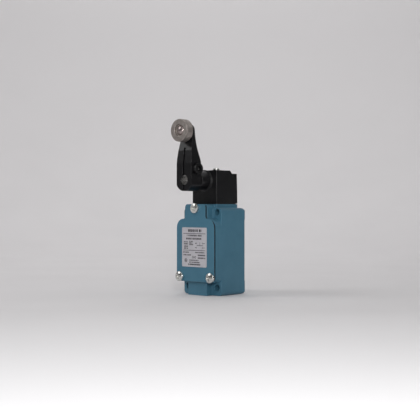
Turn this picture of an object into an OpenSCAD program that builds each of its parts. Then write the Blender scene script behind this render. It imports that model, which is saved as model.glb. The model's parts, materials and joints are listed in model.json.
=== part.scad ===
// Roller-lever limit switch: die-cast body, turning lever head, snap-action switch inside.
// Millimetres. +Z is up, -Y is the front (cover and lever side), +X is the right-hand side.
// The origin is the centre of the conduit port on the bottom face.

/* [Housing] */
// Width of the body
body_w = 40; // [39:0.5:42]
// Wall left at the sides of the wiring chamber
side_wall = 2.8; // [2.2:0.1:3.2]
// Diameter of the conduit port at the crests of its thread
port_d = 18.6; // [16:0.1:19]

/* [Mounting] */
// Distance between the mounting holes across the body
mount_dx = 30.2; // [30:0.1:30.6]
// Distance between the mounting holes up the body
mount_dz = 58.7; // [58.4:0.1:59]
// Diameter of the mounting holes
mount_d = 5.2; // [4.8:0.1:5.4]

/* [Lever] */
// Distance from the shaft to the roller
lever_r = 38; // [34:0.5:44]
// Diameter of the roller
roller_d = 17.5; // [14:0.5:20]
// Width of the roller
roller_w = 7; // [5:0.5:8]
// Width of the slit that clamps the lever on the shaft
slit_w = 1.6; // [0.8:0.1:1.8]

/* [Shaft] */
// Diameter of the lever shaft
shaft_d = 7.8; // [7:0.1:8]
// Radial play of the sliding and turning parts
play = 0.05; // [0.03:0.01:0.08]

/* [Hidden] */
$fn = 64;
eps = 0.01;

// Body: front to back
rim_y = -14.9;
ear_y = -8.7;
back_y = 19.1;
wall_in_y = 16.2;
pad_t = 0.6;
pad_x = 9.5;
pad_low_z = 10.7;
pad_high_z = 59;

// Body: bottom to top
body_z0 = 0;
body_z1 = 68.5;
seat_z = 71.5;
front_z0 = 10.7;
edge_r = 3;
corner_r = 0.6;

// Outline shared by the cover and the front of the body
neck_half = 10.9;
neck_r = 2.5;
shoulder_x = body_w / 2 - 7;
shoulder_z = 53;
shoulder_r = 7;
neck_fillet = 2;
lower_r = 3.7;
foot_half = 9.9;

// Chamber for the switch and the wires
room_half = body_w / 2 - side_wall;
room_z0 = 14;
room_z1 = 56;
slot_half = 9.2;
slot_z1 = 65;
boss_r = 3.8;

// Conduit port
port_len = 10;
port_throat_r = 7.5;

// Mounting holes
mount_z0 = 6.2;
mount_z1 = mount_z0 + mount_dz;

// Cover and its seal
cover_y = -17.3;
cover_lip = 0.3;
cover_inset = 1.2;
gasket_y = -16.2;
gasket_inset = 1;
cover_rib_t = 0.9;
cover_rib_gap = 0.3;
cover_rib_half = room_half - 1.3;
cover_rib_z0 = 18.9;
cover_rib_z1 = 52.5;
plate_t = 0.3;
plate_x0 = -13.9;
plate_x1 = 12.3;
plate_z0 = 22.3;
plate_z1 = 53.2;
cover_screws_xz = [[0, 68.3], [-16.3, 14.4], [16.3, 14.4]];
cover_screw_len = 9.5;

// Screws: M4 on the cover, M3 elsewhere
m3_r = 1.5;
m3_hole = m3_r + play;
m4_r = 2;
m4_hole = m4_r + play;
cover_head_r = 3.9;
cover_head_h = 2.9;
small_head_r = 2.6;
small_head_h = 2.0;
head_clear = 0.15;

// Lever head: a block with the shaft across it
head_half = 13;
head_y0 = -6.55;
head_y1 = 17.7;
head_draft = 0.9;
head_gasket_t = 0.5;
head_z0 = seat_z + head_gasket_t;
head_z1 = 98.2;
ledge_z = 95.8;
ledge_y = 11.8;
slope_y = 9.6;
head_edge_r = 0.5;
shaft_z = 90.2;
collar_r = 7.5;
collar_y = -16.9;
flange_r = 8.4;
flange_t = 0.9;
cam_room_r = 5.1;
cam_room_y0 = -0.8;
cam_room_y1 = 11.4;
head_screw_x = 9.4;
head_screw_y0 = -3;
head_screw_y1 = 14.5;
head_screw_sink = 2.4;
head_screw_end = 66.4;

// Shaft and the parts on it
shaft_r = shaft_d / 2;
journal_r = 3;
shaft_y0 = -29.6;
shaft_step_y = -0.4;
shaft_y1 = 15.2;
bush_wall = 1.25;
front_bush_out = shaft_r + play + bush_wall;
rear_bush_out = journal_r + play + bush_wall;
seal_out = 6;
seal_y1 = -13;
rear_bore_y = 16;
cam_r = 4.8;
cam_flat = 4;
cam_y0 = 0.6;
cam_y1 = 9.4;
cam_pin_r = 0.9;
clip_y = 10;
clip_t = 0.8;
clip_in = 2.4;
clip_out = 4.6;
slot_w = 1.3;
slot_deep = 1.2;
shaft_chamfer = 0.5;

// Lever
lever_half = 7.75;
lever_hub_r = 8.7;
lever_front = -30.1;
lever_back = -17.8;
lever_bend_z = 103;
lever_taper_z = 107;
lever_waist_z = 113;
waist_front = lever_front + 1.2;
waist_back = lever_back - 4;
lever_top_r = 5.6;
roller_z = shaft_z + lever_r;
tip_flat_z = roller_z - 5;
tip_neck_front = -27.3;
tip_neck_front_z = roller_z - 8.2;
tip_neck_back = -22.9;
tip_neck_back_z = roller_z - 10.2;
slit_x = -0.4;
slit_top = 115;
bolt_y = -24.2;
bolt_z = 98.8;
bolt_r = 2.5;
bolt_head_r = 4.2;
bolt_head_h = 5;
bolt_seat_x = 6;
bolt_end_x = -7.4;
hex_r = 2.3;
hex_deep = 2.6;

// Roller and its pin
roller_back = -28.7;
roller_front = roller_back - roller_w;
lever_tip_front = -26.5;
lever_tip_back = -23.5;
roller_chamfer = 0.3;
pin_r = 3;
pin_head_r = 3.8;
pin_crown = 1.9;
sink_r = 4.65;
sink_deep = 2;
sink_chamfer = 0.3;
pin_tail = 0.7;
pin_tail_r = 3.6;
spacer_r = 4.6;

// Plunger and its spring
plunger_y = 5.9;
plunger_top = 85.3;
plunger_skirt = 78.6;
plunger_end = 58.05;
piston_r = 5.55;
stem_r = 2.5;
piston_bore = piston_r + play;
stem_bore = stem_r + play;
seat_t = 0.6;
wiper_r = 4.2;
wiper_z0 = 68.6;
return_r = 4.3;
return_wire = 0.42;

// Snap-action switch
base_half = 16.4;
base_y0 = -3;
base_y1 = wall_in_y - 2;
base_z0 = 24;
base_z1 = 54;
cell_half = 10.5;
cell_y0 = 0.5;
cell_z0 = 29;
cell_z1 = 50;
barrier_half = 0.8;
barrier_y = -8;
button_r = 2;
button_top = 58;
button_flange_r = 3;
button_flange_z = 46.6;
button_flange_t = 2.6;
bridge_z = 42.4;
bridge_t = 0.8;
bridge_half = 9.2;
bridge_depth = 3;
hub_r = 2.4;
hub_top = 45;
contact_x = 8;
contact_r = 1.2;
contact_t = 0.6;
contact_gap = 1.05;
contact_touch = 0.05;
blade_t = 0.8;
blade_half = 1.6;
blade_tip_y = 7.6;
term_half = 3.5;
term_h = 7;
term_t = 0.8;
term_screw_up = 3.75;
term_head_r = 2.9;
washer_t = 0.6;
spring_wire = 0.35;
bridge_spring_r = 3;
nc_z = bridge_z + bridge_t + 2 * contact_t + contact_touch;
no_z = bridge_z - 2 * contact_t - contact_gap;
switch_screws_xz = [[-14.2, 51.3], [14.2, 26.7]];
ground_x = -10.5;
ground_z = 19.5;
ground_boss_y = 13.2;
ground_boss_r = 3.4;

// Colours
blue = [0.25, 0.39, 0.46];
black = [0.10, 0.10, 0.11];
steel = [0.72, 0.72, 0.74];
grey_steel = [0.50, 0.49, 0.47];
rubber = [0.12, 0.12, 0.13];
silver = [0.74, 0.75, 0.76];
brass = [0.80, 0.64, 0.32];
bronze = [0.66, 0.50, 0.28];
phenolic = [0.16, 0.12, 0.10];
plastic = [0.86, 0.84, 0.78];

// ---- Helpers ----

// Stands a flat X-Z drawing up and makes it solid from y0 to y1
module along_y(y0, y1)
    translate([0, y1, 0])
        rotate([90, 0, 0])
            linear_extrude(y1 - y0)
                children();

// Stands a flat Y-Z drawing up and makes it solid from x0 to x1
module along_x(x0, x1)
    translate([x0, 0, 0])
        rotate([90, 0, 90])
            linear_extrude(x1 - x0)
                children();

module along_z(z0, z1)
    translate([0, 0, z0])
        linear_extrude(z1 - z0)
            children();

// Round bar along Y at (x, z)
module rod_y(r, y0, y1, x = 0, z = 0)
    translate([x, y1, z])
        rotate([90, 0, 0])
            cylinder(r = r, h = y1 - y0);

// Cone along Y at (x, z), with radius r0 at y0 and r1 at y1
module cone_y(r0, r1, y0, y1, x = 0, z = 0)
    translate([x, y1, z])
        rotate([90, 0, 0])
            cylinder(r1 = r1, r2 = r0, h = y1 - y0);

// Round bar along X at (y, z)
module rod_x(r, x0, x1, y = 0, z = 0)
    translate([x0, y, z])
        rotate([0, 90, 0])
            cylinder(r = r, h = x1 - x0);

// Round bar along Z at (x, y)
module rod_z(r, z0, z1, x = 0, y = 0)
    translate([x, y, z0])
        cylinder(r = r, h = z1 - z0);

// Box from its lowest to its highest corner
module block(low, high)
    translate(low)
        cube(high - low);

// Rectangle from its lowest to its highest corner with round corners
module round_rect(low, high, r) {
    size = high - low;
    translate(low + [r, 0])
        square([size.x - 2 * r, size.y]);
    translate(low + [0, r])
        square([size.x, size.y - 2 * r]);
    for (cx = [low.x + r, high.x - r], cy = [low.y + r, high.y - r])
        translate([cx, cy])
            circle(r);
}

// Mirror copy to the other side of the body
module both_sides() {
    children();
    mirror([1, 0, 0])
        children();
}

// Screw standing on z = 0: domed head above, shank below, cross recess in the head
module pan_screw(head_r, head_h, shank_r, shank_len) {
    crown = head_h * 0.45;
    dome_r = (head_r * head_r + crown * crown) / (2 * crown);
    recess_w = head_r * 0.26;
    recess_len = head_r * 1.15;
    difference() {
        intersection() {
            cylinder(r = head_r, h = head_h);
            translate([0, 0, head_h - dome_r])
                sphere(dome_r);
        }
        for (turn = [0, 90])
            rotate(turn)
                translate([-recess_len / 2, -recess_w / 2, head_h * 0.45])
                    cube([recess_len, recess_w, head_h]);
    }
    translate([0, 0, -shank_len])
        cylinder(r = shank_r, h = shank_len + eps);
}

// The same screw with its head towards the front, seated at (x, y, z)
module front_screw(x, y, z, head_r, head_h, shank_r, shank_len)
    translate([x, y, z])
        rotate([90, 0, 0])
            pan_screw(head_r, head_h, shank_r, shank_len);

// Round wire wound into a coil between z0 and z1, with flat closed ends
module coil(r, wire, turns, z0, z1) {
    steps = 20;
    sides = 8;
    closed = 0.75;
    count = turns * steps;
    low = z0 + wire;
    rise = z1 - z0 - 2 * wire;
    function lift(i) =
        let (t = min(max(i / steps - closed, 0), turns - 2 * closed))
        low + rise * t / (turns - 2 * closed);
    points = [
        for (i = [0 : count], k = [0 : sides - 1])
            let (a = 360 * i / steps, b = 360 * k / sides, out = r + wire * cos(b))
            [out * cos(a), out * sin(a), lift(i) + wire * sin(b)]
    ];
    walls = [
        for (i = [0 : count - 1], k = [0 : sides - 1])
            let (n = (k + 1) % sides, p = i * sides, q = p + sides)
            each [[p + k, q + k, p + n], [p + n, q + k, q + n]]
    ];
    first = [for (k = [0 : sides - 1]) k];
    last = [for (k = [sides - 1 : -1 : 0]) count * sides + k];
    polyhedron(points, concat(walls, [first], [last]));
}

// ---- Body ----

// Outline of the cover seen from the front, drawn smaller by the inset
module front_outline(inset = 0) {
    half = body_w / 2 - inset;
    neck = neck_half - inset;
    bottom = front_z0 + inset;
    fillet = neck_fillet + inset;
    arc = shoulder_r - inset;
    shelf = shoulder_z + arc;
    round_rect([-neck, bottom], [neck, seat_z - inset], neck_r - inset);
    round_rect([-half, bottom], [half, shoulder_z], lower_r - inset);
    both_sides() {
        translate([0, bottom + lower_r])
            square([half, shoulder_z - bottom - lower_r]);
        translate([0, shoulder_z - eps])
            square([shoulder_x, arc + eps]);
        translate([shoulder_x, shoulder_z])
            circle(arc);
        difference() {
            translate([neck - eps, shelf - eps])
                square(fillet);
            translate([neck + fillet, shelf + fillet])
                circle(fillet);
        }
    }
}

module mounting_positions()
    for (x = [-mount_dx / 2, mount_dx / 2], z = [mount_z0, mount_z1])
        translate([x, 0, z])
            children();

// Body block with every long edge rounded and a low pad at each corner of its back
module body_block()
    difference() {
        intersection() {
            along_y(ear_y, back_y + pad_t)
                round_rect([-body_w / 2, body_z0], [body_w / 2, body_z1], edge_r);
            along_x(-body_w / 2, body_w / 2)
                round_rect([ear_y - 2 * edge_r, body_z0], [back_y + pad_t, body_z1], edge_r);
            along_z(body_z0, body_z1)
                round_rect([-body_w / 2, ear_y - 2 * corner_r], [body_w / 2, back_y + pad_t], corner_r);
        }
        block([-pad_x, back_y, -1], [pad_x, back_y + 2, body_z1 + 1]);
        block([-body_w, back_y, pad_low_z], [body_w, back_y + 2, pad_high_z]);
    }

module body_outside() {
    body_block();
    along_y(rim_y, ear_y + eps)
        front_outline();
    along_y(rim_y, head_y0)
        round_rect([-neck_half, shoulder_z], [neck_half, seat_z], neck_r);
    along_z(body_z1 - edge_r, seat_z)
        round_rect([-head_half, head_y0], [head_half, head_y1 + head_draft], head_edge_r);
    block([-foot_half, rim_y, body_z0], [foot_half, ear_y + edge_r, front_z0 + lower_r]);
}

// Room for the switch, open to the front, with the screw bosses left standing
module chamber()
    difference() {
        union() {
            block([-room_half, rim_y - eps, room_z0], [room_half, wall_in_y, room_z1]);
            block([-slot_half, rim_y - eps, room_z1 - eps], [slot_half, wall_in_y, slot_z1]);
        }
        for (p = cover_screws_xz)
            rod_y(boss_r, rim_y - 1, wall_in_y + 1, p.x, p.y);
        rod_y(ground_boss_r, ground_boss_y, wall_in_y + 1, ground_x, ground_z);
    }

module housing()
    color(blue)
        difference() {
            body_outside();
            chamber();
            rod_z(port_d / 2, -1, port_len);
            rod_z(port_throat_r, port_len - eps, room_z0 + 1);
            mounting_positions()
                rod_y(mount_d / 2, rim_y - 1, back_y + pad_t + 1);
            for (p = cover_screws_xz)
                rod_y(m4_hole, rim_y - 1, cover_y + cover_screw_len + 0.5, p.x, p.y);
            for (p = switch_screws_xz)
                rod_y(m3_hole, wall_in_y - 1, wall_in_y + 1.8, p.x, p.y);
            rod_y(m3_hole, ground_boss_y - 1, wall_in_y + 1.2, ground_x, ground_z);
            for (x = [-head_screw_x, head_screw_x], y = [head_screw_y0, head_screw_y1])
                rod_z(m3_hole, head_screw_end - 0.4, seat_z + 1, x, y);
            rod_z(stem_bore, slot_z1 - 1, seat_z + 1, 0, plunger_y);
            rod_z(wiper_r, wiper_z0, seat_z + 1, 0, plunger_y);
        }

module cover()
    color(blue)
        difference() {
            union() {
                along_y(cover_y, cover_y + cover_lip)
                    front_outline();
                along_y(cover_y, gasket_y)
                    front_outline(cover_inset);
                along_y(cover_y, rim_y + cover_rib_t)
                    round_rect([-cover_rib_half, cover_rib_z0], [cover_rib_half, cover_rib_z1], 3);
            }
            for (p = cover_screws_xz)
                rod_y(m4_hole + head_clear, cover_y - 1, rim_y + 1, p.x, p.y);
        }

module cover_gasket()
    color(rubber)
        difference() {
            along_y(gasket_y, rim_y)
                front_outline(gasket_inset);
            along_y(gasket_y - 1, rim_y + 1)
                round_rect([-cover_rib_half - cover_rib_gap, cover_rib_z0 - cover_rib_gap],
                           [cover_rib_half + cover_rib_gap, cover_rib_z1 + cover_rib_gap], 3);
            along_y(gasket_y - 1, rim_y + 1)
                round_rect([-slot_half + 2, room_z0 + 1], [slot_half - 2, slot_z1 - 1], 3);
            for (p = cover_screws_xz)
                rod_y(m4_hole, gasket_y - 1, rim_y + 1, p.x, p.y);
        }

module cover_screws()
    color(steel)
        for (p = cover_screws_xz)
            front_screw(p.x, cover_y, p.y, cover_head_r, cover_head_h, m4_r, cover_screw_len);

module nameplate()
    color(silver)
        along_y(cover_y - plate_t, cover_y)
            round_rect([plate_x0, plate_z0], [plate_x1, plate_z1], 1);

// ---- Lever head ----

// Side view of the head: a block with a lower step along its back, which leans out at the foot
module head_profile()
    polygon([[head_y0, head_z0], [head_y1 + head_draft, head_z0], [head_y1, ledge_z],
             [ledge_y, ledge_z], [slope_y, head_z1], [head_y0, head_z1]]);

module head_outside() {
    intersection() {
        along_x(-head_half, head_half)
            head_profile();
        along_z(head_z0, head_z1)
            round_rect([-head_half, head_y0], [head_half, head_y1 + head_draft], head_edge_r);
    }
    rod_y(collar_r, collar_y, head_y0 + eps, 0, shaft_z);
    intersection() {
        rod_y(flange_r, head_y0 - flange_t, head_y0 + eps, 0, shaft_z);
        block([-head_half, head_y0 - 2, head_z0], [head_half, head_y0 + 2, head_z1 + 0.3]);
    }
}

module head()
    color(black)
        difference() {
            head_outside();
            rod_y(cam_room_r, cam_room_y0 - eps, cam_room_y1 + eps, 0, shaft_z);
            rod_z(piston_bore, head_z0 - 1, shaft_z, 0, plunger_y);
            rod_y(front_bush_out, collar_y - 1, cam_room_y0, 0, shaft_z);
            rod_y(rear_bush_out, cam_room_y1, rear_bore_y, 0, shaft_z);
            rod_y(seal_out, collar_y - 1, seal_y1, 0, shaft_z);
            for (x = [-head_screw_x, head_screw_x], y = [head_screw_y0, head_screw_y1])
                rod_z(m3_hole + head_clear, head_z0 - 1, head_z1 + 1, x, y);
            for (x = [-head_screw_x, head_screw_x])
                rod_z(small_head_r + head_clear, ledge_z - head_screw_sink, head_z1 + 1,
                      x, head_screw_y1);
        }

module head_gasket()
    color(rubber)
        difference() {
            along_z(seat_z, head_z0)
                round_rect([-head_half + 0.5, head_y0 + 0.5], [head_half - 0.5, head_y1 - 0.5], 0.5);
            rod_z(stem_bore + 0.2, seat_z - 1, head_z0 + 1, 0, plunger_y);
            for (x = [-head_screw_x, head_screw_x], y = [head_screw_y0, head_screw_y1])
                rod_z(m3_hole + head_clear, seat_z - 1, head_z0 + 1, x, y);
        }

module head_screws()
    color(steel)
        for (x = [-head_screw_x, head_screw_x], y = [head_screw_y0, head_screw_y1]) {
            seat = y == head_screw_y0 ? head_z1 : ledge_z - head_screw_sink;
            translate([x, y, seat])
                pan_screw(small_head_r, small_head_h, m3_r, seat - head_screw_end);
        }

// Plain sleeve on the shaft's axis
module sleeve(out, bore, y0, y1)
    difference() {
        rod_y(out, y0, y1, 0, shaft_z);
        rod_y(bore, y0 - 1, y1 + 1, 0, shaft_z);
    }

module front_bushing()
    color(bronze)
        sleeve(front_bush_out, shaft_r + play, seal_y1, cam_room_y0);

module rear_bushing()
    color(bronze)
        sleeve(rear_bush_out, journal_r + play, cam_room_y1, rear_bore_y);

module shaft_seal()
    color(rubber)
        sleeve(seal_out, shaft_r + play, collar_y + 0.3, seal_y1);

// ---- Shaft and lever ----

module shaft()
    color(steel)
        difference() {
            union() {
                cone_y(shaft_r - shaft_chamfer, shaft_r, shaft_y0, shaft_y0 + shaft_chamfer, 0, shaft_z);
                rod_y(shaft_r, shaft_y0 + shaft_chamfer - eps, shaft_step_y, 0, shaft_z);
                rod_y(journal_r, shaft_step_y - 1, shaft_y1, 0, shaft_z);
            }
            block([-shaft_r - 1, shaft_y0 - 1, shaft_z - slot_w / 2],
                  [shaft_r + 1, shaft_y0 + slot_deep, shaft_z + slot_w / 2]);
            rod_z(cam_pin_r + play, shaft_z - shaft_r - 1, shaft_z + shaft_r + 1,
                  0, (cam_y0 + cam_y1) / 2);
            difference() {
                rod_y(journal_r + 1, clip_y, clip_y + clip_t, 0, shaft_z);
                rod_y(clip_in - play, clip_y - 1, clip_y + clip_t + 1, 0, shaft_z);
            }
        }

module cam()
    color(grey_steel)
        difference() {
            rod_y(cam_r, cam_y0, cam_y1, 0, shaft_z);
            rod_y(journal_r + play, cam_y0 - 1, cam_y1 + 1, 0, shaft_z);
            block([-cam_r, cam_y0 - 1, shaft_z - cam_r - 1],
                  [cam_r, cam_y1 + 1, shaft_z - cam_flat]);
            rod_z(cam_pin_r + play, shaft_z - cam_r - 1, shaft_z + cam_r + 1,
                  0, (cam_y0 + cam_y1) / 2);
        }

module cam_pin()
    color(steel)
        rod_z(cam_pin_r, shaft_z - cam_flat + 0.3, shaft_z + cam_r - 0.3, 0, (cam_y0 + cam_y1) / 2);

module shaft_clip()
    color(grey_steel)
        difference() {
            rod_y(clip_out, clip_y + play, clip_y + clip_t - play, 0, shaft_z);
            rod_y(clip_in, clip_y - 1, clip_y + clip_t + 1, 0, shaft_z);
            block([-clip_in + 0.4, clip_y - 1, shaft_z - clip_out - 1],
                  [clip_in - 0.4, clip_y + clip_t + 1, shaft_z]);
        }

// Front view of the lever: round hub with flat sides, straight clamp part, tapered arm, round tip
module lever_face() {
    translate([0, shaft_z])
        intersection() {
            circle(lever_hub_r);
            square([2 * lever_half, 2 * lever_hub_r], center = true);
        }
    translate([0, roller_z])
        circle(lever_top_r);
    polygon([[-lever_half, shaft_z], [lever_half, shaft_z], [lever_half, lever_taper_z],
             [lever_top_r, roller_z], [-lever_top_r, roller_z], [-lever_half, lever_taper_z]]);
}

// Side view of the lever: thick at the clamp, thinner and set back towards the tip
module lever_side()
    polygon([[lever_back, shaft_z - lever_hub_r - 1], [lever_back - 1, lever_bend_z + 1],
             [waist_back, lever_waist_z], [tip_neck_back, tip_neck_back_z],
             [lever_tip_back, tip_flat_z], [lever_tip_back, roller_z + lever_top_r + 1],
             [lever_tip_front, roller_z + lever_top_r + 1], [lever_tip_front, tip_flat_z],
             [tip_neck_front, tip_neck_front_z], [waist_front, lever_waist_z],
             [lever_front, lever_bend_z], [lever_front, shaft_z - lever_hub_r - 1]]);

module lever()
    color(black)
        difference() {
            intersection() {
                along_y(lever_front, lever_back)
                    lever_face();
                along_x(-lever_half, lever_half)
                    lever_side();
            }
            rod_y(shaft_r + play, lever_front - 1, lever_back + 1, 0, shaft_z);
            block([slit_x - slit_w / 2, lever_front - 1, shaft_z - lever_hub_r - 1],
                  [slit_x + slit_w / 2, lever_back + 1, slit_top]);
            rod_x(bolt_r + play, -lever_half - 1, lever_half + 1, bolt_y, bolt_z);
            rod_x(bolt_head_r + 0.15, bolt_seat_x, lever_half + 1, bolt_y, bolt_z);
            rod_y(pin_r + play, lever_front - 1, lever_back + 1, 0, roller_z);
        }

module clamp_bolt()
    color(black)
        difference() {
            union() {
                rod_x(bolt_head_r, bolt_seat_x, bolt_seat_x + bolt_head_h, bolt_y, bolt_z);
                rod_x(bolt_r, bolt_end_x, bolt_seat_x + eps, bolt_y, bolt_z);
            }
            translate([bolt_seat_x + bolt_head_h - hex_deep, bolt_y, bolt_z])
                rotate([0, 90, 0])
                    cylinder(r = hex_r, h = hex_deep + 1, $fn = 6);
        }

module roller()
    color(grey_steel)
        difference() {
            union() {
                cone_y(roller_d / 2 - roller_chamfer, roller_d / 2,
                       roller_front, roller_front + roller_chamfer, 0, roller_z);
                rod_y(roller_d / 2, roller_front + roller_chamfer - eps,
                      roller_back - roller_chamfer + eps, 0, roller_z);
                cone_y(roller_d / 2, roller_d / 2 - roller_chamfer,
                       roller_back - roller_chamfer, roller_back, 0, roller_z);
            }
            rod_y(pin_r + play, roller_front - 1, roller_back + 1, 0, roller_z);
            rod_y(sink_r, roller_front - 1, roller_front + sink_deep, 0, roller_z);
            cone_y(sink_r + sink_chamfer + eps, sink_r, roller_front - eps,
                   roller_front + sink_chamfer, 0, roller_z);
        }

// Rivet pin: domed head in the roller's recess, tail spread behind the lever
module roller_pin()
    color(grey_steel) {
        head_back = roller_front + sink_deep - play;
        dome_r = (pin_head_r * pin_head_r + pin_crown * pin_crown) / (2 * pin_crown);
        intersection() {
            rod_y(pin_head_r, head_back - pin_crown, head_back, 0, roller_z);
            translate([0, head_back - pin_crown + dome_r, roller_z])
                sphere(dome_r);
        }
        rod_y(pin_r, head_back - eps, lever_tip_back + pin_tail, 0, roller_z);
        rod_y(pin_tail_r, lever_tip_back, lever_tip_back + pin_tail, 0, roller_z);
    }

module roller_spacer()
    color(steel)
        difference() {
            rod_y(spacer_r, roller_back + play, lever_tip_front, 0, roller_z);
            rod_y(pin_r + play, roller_back - 1, lever_tip_front + 1, 0, roller_z);
        }

// ---- Plunger ----

module plunger()
    color(plastic) {
        rod_z(piston_r, plunger_skirt, plunger_top, 0, plunger_y);
        rod_z(stem_r, plunger_end, plunger_skirt + 1, 0, plunger_y);
    }

module plunger_wiper()
    color(rubber)
        difference() {
            rod_z(wiper_r, wiper_z0, seat_z, 0, plunger_y);
            rod_z(stem_bore, wiper_z0 - 1, seat_z + 1, 0, plunger_y);
        }

module spring_seat()
    color(steel)
        difference() {
            rod_z(piston_r - 0.2, head_z0, head_z0 + seat_t, 0, plunger_y);
            rod_z(stem_r + 0.3, head_z0 - 1, head_z0 + seat_t + 1, 0, plunger_y);
        }

module return_spring()
    color(steel)
        translate([0, plunger_y, 0])
            coil(return_r, return_wire, 3.5, head_z0 + seat_t, plunger_skirt);

// ---- Snap-action switch ----

module switch_base()
    color(phenolic)
        difference() {
            union() {
                block([-base_half, base_y0, base_z0], [base_half, base_y1, base_z1]);
                block([-barrier_half, barrier_y, base_z0 + 4], [barrier_half, base_y0 + 1, base_z1 - 1]);
            }
            block([-cell_half, cell_y0, cell_z0], [cell_half, base_y1 + 1, cell_z1]);
            rod_z(button_r + play, cell_z1 - 1, base_z1 + 1, 0, plunger_y);
            for (p = switch_screws_xz)
                rod_y(m3_hole, base_y0 - 1, base_y1 + 1, p.x, p.y);
            for (x = [-contact_x, contact_x]) {
                blade_slot(x, nc_z);
                blade_slot(x, no_z - blade_t);
                rod_y(m3_hole, base_y0 - 1, cell_y0 - 0.4, x, nc_z + term_screw_up);
                rod_y(m3_hole, base_y0 - 1, cell_y0 - 0.4, x, no_z - term_screw_up);
            }
        }

// Slot in the front wall of the base that lets a terminal's blade through
module blade_slot(x, z)
    block([x - blade_half, base_y0 - 1, z], [x + blade_half, cell_y0 + 1, z + blade_t]);

module switch_lid()
    color(phenolic)
        difference() {
            block([-base_half, base_y1, base_z0], [base_half, wall_in_y, base_z1]);
            for (p = switch_screws_xz)
                rod_y(m3_hole, base_y1 - 1, wall_in_y + 1, p.x, p.y);
        }

module switch_button()
    color(plastic) {
        rod_z(button_r, button_flange_z, button_top, 0, plunger_y);
        rod_z(button_flange_r, button_flange_z, button_flange_z + button_flange_t, 0, plunger_y);
    }

module contact_bridge()
    color(brass) {
        block([-bridge_half, plunger_y - bridge_depth / 2, bridge_z],
              [bridge_half, plunger_y + bridge_depth / 2, bridge_z + bridge_t]);
        rod_z(hub_r, bridge_z, hub_top, 0, plunger_y);
    }

module moving_contacts()
    color(silver)
        for (x = [-contact_x, contact_x]) {
            rod_z(contact_r, bridge_z + bridge_t, bridge_z + bridge_t + contact_t, x, plunger_y);
            rod_z(contact_r, bridge_z - contact_t, bridge_z, x, plunger_y);
        }

module fixed_contacts()
    color(silver)
        for (x = [-contact_x, contact_x]) {
            rod_z(contact_r, nc_z - contact_t, nc_z, x, plunger_y);
            rod_z(contact_r, no_z, no_z + contact_t, x, plunger_y);
        }

module contact_spring()
    color(steel)
        translate([0, plunger_y, 0])
            coil(bridge_spring_r, spring_wire, 6.5, cell_z0, bridge_z);

// Terminal: a plate on the front of the base and a blade that reaches the contact.
// The plate goes up from the blade when up is 1, and down when it is -1.
module terminal(x, z, up)
    color(brass)
        difference() {
            union() {
                plate_low = up > 0 ? z : z + blade_t - term_h;
                block([x - term_half, base_y0 - term_t, plate_low],
                      [x + term_half, base_y0, plate_low + term_h]);
                block([x - blade_half, base_y0 - eps, z], [x + blade_half, blade_tip_y, z + blade_t]);
            }
            rod_y(m3_hole, base_y0 - term_t - 1, base_y0 + eps,
                  x, up > 0 ? z + term_screw_up : z + blade_t - term_screw_up);
        }

module nc_terminal_left()
    terminal(-contact_x, nc_z, 1);

module nc_terminal_right()
    terminal(contact_x, nc_z, 1);

module no_terminal_left()
    terminal(-contact_x, no_z - blade_t, -1);

module no_terminal_right()
    terminal(contact_x, no_z - blade_t, -1);

module terminal_screws()
    color(steel)
        for (x = [-contact_x, contact_x], z = [nc_z + term_screw_up, no_z - term_screw_up])
            front_screw(x, base_y0 - term_t - washer_t, z, term_head_r, small_head_h, m3_r,
                        term_t + washer_t - base_y0 - 0.2);

module terminal_washers()
    color(steel)
        for (x = [-contact_x, contact_x], z = [nc_z + term_screw_up, no_z - term_screw_up])
            difference() {
                rod_y(term_head_r + 0.4, base_y0 - term_t - washer_t, base_y0 - term_t, x, z);
                rod_y(m3_hole, base_y0 - term_t - washer_t - 1, base_y0 - term_t + 1, x, z);
            }

module switch_screws()
    color(steel)
        for (p = switch_screws_xz)
            front_screw(p.x, base_y0, p.y, small_head_r, small_head_h, m3_r,
                        wall_in_y - base_y0 + 1.4);

module ground_screw()
    color(steel)
        front_screw(ground_x, ground_boss_y - washer_t, ground_z, term_head_r, small_head_h, m3_r,
                    washer_t + wall_in_y - ground_boss_y + 0.8);

module ground_washer()
    color(brass)
        difference() {
            rod_y(term_head_r + 0.4, ground_boss_y - washer_t, ground_boss_y, ground_x, ground_z);
            rod_y(m3_hole, ground_boss_y - washer_t - 1, ground_boss_y + 1, ground_x, ground_z);
        }

// ---- Nodes ----

housing();
cover();
cover_gasket();
cover_screws();
nameplate();
head();
head_gasket();
head_screws();
front_bushing();
rear_bushing();
shaft_seal();
shaft();
cam();
cam_pin();
shaft_clip();
lever();
clamp_bolt();
roller();
roller_pin();
roller_spacer();
plunger();
plunger_wiper();
return_spring();
spring_seat();
switch_base();
switch_lid();
switch_button();
contact_bridge();
contact_spring();
moving_contacts();
fixed_contacts();
nc_terminal_left();
nc_terminal_right();
no_terminal_left();
no_terminal_right();
terminal_screws();
terminal_washers();
switch_screws();
ground_screw();
ground_washer();
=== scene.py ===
"""Looks for the roller-lever limit switch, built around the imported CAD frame.

Blender 4.5, metres, same frame as the CAD: +Z up, -Y the front (cover and lever side), +X to the right.
"""

import json
import math
import random

import bmesh
import bpy
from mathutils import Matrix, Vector


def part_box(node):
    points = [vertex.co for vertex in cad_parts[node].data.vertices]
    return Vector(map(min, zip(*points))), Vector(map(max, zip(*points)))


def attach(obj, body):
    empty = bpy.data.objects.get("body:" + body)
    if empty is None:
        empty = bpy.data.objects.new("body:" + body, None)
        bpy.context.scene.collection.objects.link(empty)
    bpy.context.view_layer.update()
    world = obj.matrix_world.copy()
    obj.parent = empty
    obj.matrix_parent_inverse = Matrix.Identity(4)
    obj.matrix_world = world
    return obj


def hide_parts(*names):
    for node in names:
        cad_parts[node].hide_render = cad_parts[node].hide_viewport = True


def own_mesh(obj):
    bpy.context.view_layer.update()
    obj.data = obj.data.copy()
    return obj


MM = 0.001
SEED = 11

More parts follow.
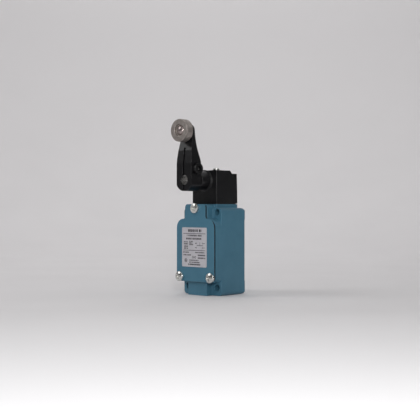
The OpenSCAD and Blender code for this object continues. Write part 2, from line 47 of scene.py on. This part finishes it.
# ---- Camera: level, 733 mm away, turned 42.2 degrees to the right of the front ----

CAMERA_AZIMUTH = math.radians(42.2)
CAMERA_DISTANCE = 733.2 * MM
CAMERA_HEIGHT = 68.7 * MM
CAMERA_LENS = 78.92
SENSOR_WIDTH = 36.0
CAMERA_SHIFT_Y = -0.0055


def make_camera():
    camera = bpy.data.cameras.new("camera")
    camera.lens = CAMERA_LENS
    camera.sensor_width = SENSOR_WIDTH
    camera.shift_y = CAMERA_SHIFT_Y
    camera.clip_start = 10 * MM
    thing = bpy.data.objects.new("camera", camera)
    bpy.context.scene.collection.objects.link(thing)
    thing.location = (
        CAMERA_DISTANCE * math.sin(CAMERA_AZIMUTH),
        -CAMERA_DISTANCE * math.cos(CAMERA_AZIMUTH),
        CAMERA_HEIGHT,
    )
    thing.rotation_euler = (math.pi / 2, 0, CAMERA_AZIMUTH)
    bpy.context.scene.camera = thing


make_camera()
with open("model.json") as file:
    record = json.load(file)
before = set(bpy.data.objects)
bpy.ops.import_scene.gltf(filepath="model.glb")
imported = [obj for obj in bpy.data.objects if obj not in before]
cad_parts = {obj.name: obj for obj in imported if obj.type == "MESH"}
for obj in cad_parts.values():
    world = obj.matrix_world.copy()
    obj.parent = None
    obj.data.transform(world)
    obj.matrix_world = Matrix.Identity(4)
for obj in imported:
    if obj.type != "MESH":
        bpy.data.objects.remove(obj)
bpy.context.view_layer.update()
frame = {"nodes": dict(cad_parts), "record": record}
nodes = frame["nodes"]


# ---- Materials ----

# Noise between these two values runs over the whole of a look's range
CLOUD = (0.35, 0.70)
SPECK = (0.30, 0.70)
# The cosine between a face and its rounded edge: where an edge starts to show, and where it is full
EDGE_COSINE = (0.995, 0.90)
# The upward share of a face's normal: where dust starts to lie, and where it covers the face
LEVEL = (0.93, 0.99)
# Settled dust makes the faces that look up duller by this much
DUST_ROUGHNESS = 0.45


class Shader:
    """A Principled material with short calls for the nodes it needs."""

    def __init__(self, name):
        self.material = bpy.data.materials.new(name)
        self.material.use_nodes = True
        self.tree = self.material.node_tree
        self.principled = self.tree.nodes["Principled BSDF"]
        coordinates = self.tree.nodes.new("ShaderNodeTexCoord")
        self.place = coordinates.outputs["Object"]
        self.facing = coordinates.outputs["Normal"]

    def link(self, source, target):
        self.tree.links.new(source, target)

    def set(self, **values):
        for name, value in values.items():
            self.principled.inputs[name.replace("_", " ")].default_value = value

    def stretched(self, scale):
        node = self.tree.nodes.new("ShaderNodeMapping")
        node.inputs["Scale"].default_value = scale
        self.link(self.place, node.inputs["Vector"])
        return node.outputs["Vector"]

    def along(self, direction):
        """Distance from the origin along a direction, in metres."""
        node = self.tree.nodes.new("ShaderNodeVectorMath")
        node.operation = "DOT_PRODUCT"
        self.link(self.place, node.inputs[0])
        node.inputs[1].default_value = direction
        return node.outputs["Value"]

    def noise(self, per_mm, detail=3.0, rough=0.5, stretch=(1, 1, 1)):
        """Noise with about per_mm lumps a millimetre."""
        node = self.tree.nodes.new("ShaderNodeTexNoise")
        node.inputs["Scale"].default_value = per_mm / MM
        node.inputs["Detail"].default_value = detail
        node.inputs["Roughness"].default_value = rough
        self.link(self.stretched(stretch), node.inputs["Vector"])
        return node.outputs["Fac"]

    def spread(self, value, low, high, to_low=0.0, to_high=1.0):
        node = self.tree.nodes.new("ShaderNodeMapRange")
        node.inputs["From Min"].default_value = low
        node.inputs["From Max"].default_value = high
        node.inputs["To Min"].default_value = to_low
        node.inputs["To Max"].default_value = to_high
        self.link(value, node.inputs["Value"])
        return node.outputs["Result"]

    def mix(self, factor, a, b):
        node = self.tree.nodes.new("ShaderNodeMix")
        node.data_type = "RGBA"
        self.link(factor, node.inputs["Factor"])
        for value, name in ((a, "A"), (b, "B")):
            socket = [s for s in node.inputs if s.name == name and s.type == "RGBA"][0]
            if isinstance(value, tuple):
                socket.default_value = value + (1.0,)
            else:
                self.link(value, socket)
        return [s for s in node.outputs if s.type == "RGBA"][0]

    def maths(self, operation, a, b):
        node = self.tree.nodes.new("ShaderNodeMath")
        node.operation = operation
        for socket, value in zip(node.inputs, (a, b)):
            if isinstance(value, (int, float)):
                socket.default_value = value
            else:
                self.link(value, socket)
        return node.outputs[0]

    def upward(self):
        """1 on faces that look straight up at rest, 0 on the others."""
        split = self.tree.nodes.new("ShaderNodeSeparateXYZ")
        self.link(self.facing, split.inputs[0])
        return self.spread(split.outputs["Z"], *LEVEL)

    def edges(self, width_mm):
        """Near 1 on outer and inner edges narrower than the width, 0 on flats."""
        bevel = self.tree.nodes.new("ShaderNodeBevel")
        bevel.samples = 4
        bevel.inputs["Radius"].default_value = width_mm * MM
        geometry = self.tree.nodes.new("ShaderNodeNewGeometry")
        dot = self.tree.nodes.new("ShaderNodeVectorMath")
        dot.operation = "DOT_PRODUCT"
        self.link(bevel.outputs["Normal"], dot.inputs[0])
        self.link(geometry.outputs["Normal"], dot.inputs[1])
        return self.spread(dot.outputs["Value"], *EDGE_COSINE)

    def bump(self, height, depth_mm, strength=1.0):
        node = self.tree.nodes.new("ShaderNodeBump")
        node.inputs["Distance"].default_value = depth_mm * MM
        node.inputs["Strength"].default_value = strength
        self.link(height, node.inputs["Height"])
        self.link(node.outputs["Normal"], self.principled.inputs["Normal"])

    def colour(self, value):
        self.link(value, self.principled.inputs["Base Color"])

    def roughness(self, value):
        self.link(value, self.principled.inputs["Roughness"])


def srgb(r, g, b):
    """Linear colour of an 8-bit screen colour."""
    def linear(v):
        v = v / 255
        return v / 12.92 if v <= 0.04045 else ((v + 0.055) / 1.055) ** 2.4
    return (linear(r), linear(g), linear(b))


def cast_paint(name, main, dark, worn_and_highlit, gloss, grain_mm=0.9, grain_depth=0.012):
    """Sprayed paint on a die casting: faint mottling, orange peel, edges lightened as rubbed wear and
    as a painted highlight, dust on top.
    """
    s = Shader(name)
    cloud = s.noise(0.08, 4.0)
    speck = s.noise(3.0, 2.0)
    base = s.mix(s.spread(cloud, *CLOUD), main, dark)
    # Lighter edges: partly rubbed paint, partly a painted highlight along the edges
    rub_and_highlight = s.maths("MULTIPLY", s.edges(0.25), s.spread(s.noise(0.6, 5.0), 0.50, 0.72))
    s.colour(s.mix(s.maths("MULTIPLY", rub_and_highlight, 0.6), base, worn_and_highlit))
    skin = s.spread(speck, *SPECK, gloss - 0.05, gloss + 0.06)
    s.roughness(s.maths("ADD", skin, s.maths("MULTIPLY", s.upward(), DUST_ROUGHNESS)))
    s.bump(s.noise(1.0 / grain_mm, 3.0, 0.6), grain_depth)
    s.set(Specular_IOR_Level=0.45)
    return s.material


def turned_metal(name, bright, dull, gloss, across=(1, 12, 1), depth=0.004, metallic=1.0):
    """Metal with fine tool marks drawn out along one direction."""
    s = Shader(name)
    marks = s.noise(2.0, 3.0, 0.6, across)
    stain = s.noise(0.25, 4.0)
    s.colour(s.mix(s.spread(stain, *CLOUD), bright, dull))
    s.roughness(s.spread(marks, *SPECK, gloss - 0.07, gloss + 0.09))
    s.bump(marks, depth)
    s.set(Metallic=metallic)
    return s.material


def sintered_metal(name, bright, dull, gloss):
    """Pressed powder metal: grainy, with small dark pores."""
    s = Shader(name)
    grain = s.noise(4.0, 4.0, 0.7)
    stain = s.noise(0.3, 4.0)
    pores = s.spread(s.noise(7.0, 2.0), 0.30, 0.42)
    base = s.mix(s.spread(stain, *SPECK), bright, dull)
    s.colour(s.mix(pores, tuple(0.45 * c for c in dull), base))
    s.roughness(s.spread(grain, *SPECK, gloss - 0.05, gloss + 0.10))
    s.bump(s.maths("ADD", grain, pores), 0.012)
    s.set(Metallic=0.85)
    return s.material


def moulded(name, main, other, gloss, depth=0.008, per_mm=1.5):
    """Plastic or rubber with a fine skin and slight colour drift."""
    s = Shader(name)
    s.colour(s.mix(s.spread(s.noise(0.15, 4.0), *CLOUD), main, other))
    s.roughness(s.spread(s.noise(1.2, 3.0), *SPECK, gloss - 0.06, gloss + 0.08))
    s.bump(s.noise(per_mm, 4.0, 0.6), depth)
    return s.material


LOOKS = {
    # The third colour of each paint is its edge colour: rubbed wear, lightened further as a painted
    # highlight
    "blue_paint": cast_paint("blue_paint", srgb(68, 114, 135), srgb(62, 107, 128),
                             srgb(112, 148, 164), 0.42),
    "black_paint": cast_paint("black_paint", srgb(19, 19, 21), srgb(14, 14, 16),
                              srgb(76, 76, 78), 0.31),
    "black_bolt": cast_paint("black_bolt", srgb(17, 17, 18), srgb(12, 12, 13),
                             srgb(84, 82, 80), 0.30, 0.5, 0.004),
    "zinc_screw": turned_metal("zinc_screw", srgb(226, 226, 222), srgb(196, 197, 194), 0.26,
                               (1, 1, 1)),
    "shaft_steel": turned_metal("shaft_steel", srgb(168, 166, 163), srgb(128, 127, 126), 0.28),
    "roller_steel": sintered_metal("roller_steel", srgb(176, 168, 163), srgb(147, 140, 135), 0.45),
    "pin_steel": sintered_metal("pin_steel", srgb(177, 164, 161), srgb(140, 130, 127), 0.24),
    "spring_steel": turned_metal("spring_steel", srgb(176, 176, 174), srgb(140, 140, 140), 0.30,
                                 (1, 1, 1)),
    "label_aluminium": turned_metal("label_aluminium", srgb(200, 198, 203), srgb(191, 189, 195),
                                    0.40, (14, 1, 1), 0.002, 0.25),
    "black_rubber": moulded("black_rubber", srgb(30, 30, 31), srgb(40, 40, 41), 0.65),
    "bronze": sintered_metal("bronze", srgb(184, 142, 82), srgb(150, 112, 62), 0.42),
    "terminal_brass": turned_metal("terminal_brass", srgb(222, 190, 118), srgb(190, 156, 88), 0.28,
                                   (12, 1, 1)),
    "contact_silver": turned_metal("contact_silver", srgb(236, 234, 228), srgb(206, 203, 196), 0.2,
                                   (1, 1, 1)),
    "plunger_plastic": moulded("plunger_plastic", srgb(226, 221, 206), srgb(212, 206, 190), 0.42,
                               0.004),
    "phenolic": moulded("phenolic", srgb(52, 38, 32), srgb(38, 28, 24), 0.40, 0.01, 2.5),
}


def dress(thing, look):
    thing.data.materials.clear()
    thing.data.materials.append(LOOKS[look])


for part in frame["record"]["subparts"]:
    dress(nodes[part["node"]], part["material_slot"])


# ---- Shape helpers ----


def soften(node, voxel, passes, keep=0.34):
    """Rounds every edge of a CAD casting a little, as sand and die castings are."""
    thing = nodes[node]
    weld = thing.modifiers.new("weld", "WELD")
    weld.merge_threshold = 1e-6
    remesh = thing.modifiers.new("remesh", "REMESH")
    remesh.mode = "VOXEL"
    remesh.voxel_size = voxel * MM
    remesh.use_smooth_shade = True
    smooth = thing.modifiers.new("smooth", "SMOOTH")
    smooth.factor = 0.5
    smooth.iterations = passes
    thin = thing.modifiers.new("thin", "DECIMATE")
    thin.ratio = keep


for node, voxel, passes in (
    ("housing", 0.28, 3),
    ("cover", 0.16, 4),
    ("head", 0.18, 3),
    ("lever", 0.16, 4),
    ("cover_screws", 0.12, 2),
    ("head_screws", 0.12, 2),
    ("clamp_bolt", 0.12, 3),
    ("roller", 0.13, 2),
    ("roller_pin", 0.11, 2),
    ("shaft", 0.14, 2),
    ("roller_spacer", 0.16, 2),
):
    soften(node, voxel, passes)


# ---- Springs: copies of the CAD coils, attached to the housing ----


def live_spring(node):
    """Stands for a CAD spring whose low end stays where it is."""
    thing = bpy.data.objects.new(node + "_coil", nodes[node].data.copy())
    bpy.context.scene.collection.objects.link(thing)
    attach(thing, "housing")
    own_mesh(thing)
    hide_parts(node)


live_spring("return_spring")
live_spring("contact_spring")


# ---- Print on the nameplate: rules, bars and a contact diagram, with no lettering ----

INK_THICK = 0.02 * MM
# Share of the strokes that end a word, and the gaps inside and between words, as shares of the height
WORD_END = 0.14
STROKE_GAP = 0.18
WORD_GAP = 0.60

# Every place on the plate is a share of its width or of its height, from the top left corner.
# Printed rows: left end, right end and height on the plate, then stroke height in mm
PLATE_ROWS = (
    (0.25, 0.79, 0.080, 2.1),
    (0.20, 0.80, 0.205, 1.3),
    (0.17, 0.80, 0.285, 1.4),
    (0.05, 0.29, 0.632, 0.9),
    (0.54, 0.93, 0.632, 0.9),
    (0.05, 0.38, 0.700, 1.0),
    (0.65, 0.95, 0.700, 1.1),
    (0.65, 0.95, 0.770, 1.1),
    (0.30, 0.68, 0.830, 0.8),
    (0.30, 0.73, 0.882, 0.9),
    (0.25, 0.75, 0.938, 1.2),
)
PLATE_RULES = (0.155, 0.580)
# Two columns of small print: left end, right end, stroke height in mm, then the height of each line
PLATE_COLUMNS = (
    (0.08, 0.25, 1.0, (0.37, 0.42, 0.48, 0.53)),
    (0.30, 0.46, 0.9, (0.355, 0.395, 0.435)),
)
# Contact diagram: heights of the two pairs of fixed contacts and of the bridge between them
UPPER_PAIR = 0.40
LOWER_PAIR = 0.51
BRIDGE = 0.455
BRIDGE_ENDS = (0.60, 0.86)
PUSH_ROD = 0.73
PUSH_TOP = 0.37
CONTACTS = (0.58, 0.84)
CONTACT_RADIUS = 0.55 * MM
# Leads that run outwards from the contacts, as left and right ends
LEADS = ((0.53, 0.59), (0.85, 0.94))
# Plain rings at the plate's lower end: place across and down, then radius and line width in mm
PLATE_RINGS = (
    (0.16, 0.84, 1.5, 0.45, 28),
    (0.16, 0.84, 0.7, 0.4, 20),
    (0.45, 0.755, 0.95, 0.4, 20),
    (0.54, 0.755, 0.95, 0.4, 20),
)


class Print:
    """Flat closed strokes on the plate's face, placed by shares of its width and height."""

    def __init__(self):
        self.low, self.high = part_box("nameplate")
        self.bm = bmesh.new()

    def spot(self, across, down):
        width = self.high[0] - self.low[0]
        height = self.high[2] - self.low[2]
        return Vector((self.low[0] + across * width, 0, self.high[2] - down * height))

    def solid(self, outline):
        """Closed slab over an outline that runs counter-clockwise as seen from the front."""
        face = self.low[1]
        front = [self.bm.verts.new((p.x, face - INK_THICK, p.z)) for p in outline]
        back = [self.bm.verts.new((p.x, face + INK_THICK, p.z)) for p in outline]
        count = len(outline)
        self.bm.faces.new(front)
        self.bm.faces.new(back[::-1])
        for i in range(count):
            j = (i + 1) % count
            self.bm.faces.new((front[i], back[i], back[j], front[j]))

    def bar(self, x0, x1, z0, z1):
        self.solid([Vector((x0, 0, z0)), Vector((x1, 0, z0)), Vector((x1, 0, z1)), Vector((x0, 0, z1))])

    def rule(self, left, right, down, thick=0.4 * MM):
        a, b = self.spot(left, down), self.spot(right, down)
        self.bar(a.x, b.x, a.z - thick / 2, a.z + thick / 2)

    def stroke(self, start, end, thick=0.32 * MM):
        a, b = self.spot(*start), self.spot(*end)
        side = (b - a).normalized().cross(Vector((0, 1, 0))) * thick / 2
        self.solid([a + side, b + side, b - side, a - side])

    def dashes(self, left, right, down, tall, rng):
        """A row of short upright blocks with uneven widths and gaps."""
        a, b = self.spot(left, down), self.spot(right, down)
        tall = tall * MM
        x = a.x
        while x < b.x - 0.3 * tall:
            wide = tall * rng.uniform(0.30, 0.66)
            self.bar(x, min(x + wide, b.x), a.z - tall / 2, a.z + tall / 2)
            x += wide + tall * (WORD_GAP if rng.random() < WORD_END else STROKE_GAP)

    def ring(self, across, down, radius, thick=0.2 * MM, sides=20):
        middle = self.spot(across, down)
        for i in range(sides):
            points = []
            for turn, r in ((i, radius - thick), (i, radius), (i + 1, radius), (i + 1, radius - thick)):
                angle = 2 * math.pi * turn / sides
                points.append(middle + Vector((r * math.cos(angle), 0, r * math.sin(angle))))
            self.solid(points)

    def finish(self, name):
        bmesh.ops.recalc_face_normals(self.bm, faces=self.bm.faces)
        mesh = bpy.data.meshes.new(name)
        self.bm.to_mesh(mesh)
        self.bm.free()
        thing = bpy.data.objects.new(name, mesh)
        bpy.context.scene.collection.objects.link(thing)
        return thing


def print_plate():
    rng = random.Random(SEED)
    ink = Print()
    for left, right, down, tall in PLATE_ROWS:
        ink.dashes(left, right, down, tall, rng)
    for down in PLATE_RULES:
        ink.rule(0.05, 0.95, down)
    for left, right, tall, lines in PLATE_COLUMNS:
        for down in lines:
            ink.dashes(left, right, down, tall, rng)
    for down in (UPPER_PAIR, LOWER_PAIR):
        for across in CONTACTS:
            ink.ring(across, down, CONTACT_RADIUS)
        for left, right in LEADS:
            ink.stroke((left, down), (right, down))
    ink.stroke((BRIDGE_ENDS[0], BRIDGE), (BRIDGE_ENDS[1], BRIDGE), 0.4 * MM)
    ink.stroke((PUSH_ROD, PUSH_TOP), (PUSH_ROD, BRIDGE))
    for across, down, radius, thick, sides in PLATE_RINGS:
        ink.ring(across, down, radius * MM, thick * MM, sides)
    thing = ink.finish("nameplate_print")
    thing.data.materials.append(moulded("label_ink", srgb(34, 31, 37), srgb(46, 43, 48), 0.5, 0.002))
    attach(thing, "housing")


print_plate()


# ---- Stage: pale floor that rises into a backdrop behind the object, soft lights ----

# In metres: where the sweep starts, its radius, the wall's height and the floor's radius
STAGE_FLAT = 0.55
STAGE_BEND = 0.65
STAGE_TOP = 2.2
STAGE_REACH = 9.0
STAGE_STEPS = 16
STAGE_SIDES = 36
WALL_SPAN = math.radians(150)
# The floor's colour gets lighter between these distances towards the camera: a painted pool of light in
# front of the object
FLOOR_NEAR = (0.12, 0.42)
# Past the lights the floor glows a little as painted light, so that it stays pale: start and full
# distance, strength
FLOOR_FAR = (0.74, 0.88)
FLOOR_GLOW = 0.62
# The wall's colour gets darker between these heights: painted shade towards the top of the backdrop
WALL_HIGH = (0.05, 0.42)


def stage_height(out):
    """Height of the sweep at a distance from the object."""
    part = min((out - STAGE_FLAT) / STAGE_BEND, 1.0)
    return STAGE_BEND * (1 - math.sqrt(1 - part * part))


def make_stage():
    """A round floor, and on it a quarter-round sweep with a wall behind the far side only."""
    bm = bmesh.new()
    steps = STAGE_STEPS
    count = STAGE_SIDES
    back = math.pi / 2 + CAMERA_AZIMUTH
    rings = [STAGE_FLAT + STAGE_BEND * math.sin(math.pi / 2 * i / steps) for i in range(steps + 1)]

    def point(out, angle, height):
        turn = back + angle
        return bm.verts.new((out * math.cos(turn), out * math.sin(turn), height))

    bm.faces.new([point(STAGE_REACH, 2 * math.pi * i / count, 0.0) for i in range(count)])
    angles = [WALL_SPAN * (i / count - 0.5) for i in range(count + 1)]
    rows = [[point(out, angle, stage_height(out)) for angle in angles] for out in rings]
    rows.append([point(rings[-1], angle, STAGE_TOP) for angle in angles])
    for low, high in zip(rows, rows[1:]):
        for i in range(count):
            bm.faces.new((low[i], low[i + 1], high[i + 1], high[i])).smooth = True
    mesh = bpy.data.meshes.new("floor")
    bm.to_mesh(mesh)
    bm.free()
    floor = bpy.data.objects.new("floor", mesh)
    bpy.context.scene.collection.objects.link(floor)
    floor.data.materials.append(floor_material())


def floor_material():
    s = Shader("floor")
    forward = s.along((math.sin(CAMERA_AZIMUTH), -math.cos(CAMERA_AZIMUTH), 0))
    # Painted light: the floor's colour brightens towards the camera
    painted_light_near = s.spread(forward, *FLOOR_NEAR)
    # Painted light: the far floor glows in place of lamp light
    s.link(s.spread(forward, *FLOOR_FAR, 0.0, FLOOR_GLOW), s.principled.inputs["Emission Strength"])
    # Painted shade: the wall's colour darkens with height
    high = s.spread(s.along((0, 0, 1)), *WALL_HIGH)
    mottle = s.spread(s.noise(0.01, 3.0), *SPECK)
    plain = s.mix(mottle, srgb(231, 229, 230), srgb(228, 226, 227))
    s.colour(s.mix(painted_light_near, s.mix(high, plain, srgb(218, 216, 217)), srgb(249, 248, 249)))
    s.set(Roughness=0.9, Specular_IOR_Level=0.2, Emission_Color=(1, 1, 1, 1))
    return s.material


LIGHTS_CENTRE = (0, 0, 70 * MM)


def soft_light(name, azimuth, elevation, distance, size, power, aim=LIGHTS_CENTRE):
    """A disc lamp on a sphere around the object, turned towards a point."""
    lamp = bpy.data.lights.new(name, "AREA")
    lamp.shape = "DISK"
    lamp.size = size
    lamp.energy = power
    thing = bpy.data.objects.new(name, lamp)
    bpy.context.scene.collection.objects.link(thing)
    a, e = math.radians(azimuth), math.radians(elevation)
    away = Vector((math.sin(a) * math.cos(e), -math.cos(a) * math.cos(e), math.sin(e)))
    thing.location = Vector(LIGHTS_CENTRE) + away * distance
    thing.rotation_euler = (thing.location - Vector(aim)).to_track_quat("Z", "Y").to_euler()


# Azimuth and elevation in degrees, distance and disc size in metres, power in watts
LIGHTS = {
    "key": (42, 50, 0.75, 0.45, 1.15),
    "flash": (44, 12, 0.80, 0.10, 2.4),
    "left": (-42, 38, 1.0, 0.6, 2.6),
    "right": (130, 45, 1.0, 0.6, 0.95),
}
# Lights the wall behind the object
BACK_LIGHT = (222, 62, 1.0, 0.8, 4.0)
BACK_AIM = (-0.74, 0.82, 0.25)
WORLD_STRENGTH = 0.02


def make_world():
    world = bpy.data.worlds.new("world")
    world.use_nodes = True
    background = world.node_tree.nodes["Background"]
    background.inputs["Color"].default_value = (1, 1, 1, 1)
    background.inputs["Strength"].default_value = WORLD_STRENGTH
    bpy.context.scene.world = world


make_stage()
for name, settings in LIGHTS.items():
    soft_light(name, *settings)
soft_light("back", *BACK_LIGHT, aim=BACK_AIM)
make_world()
bpy.context.scene.view_settings.view_transform = "Standard"
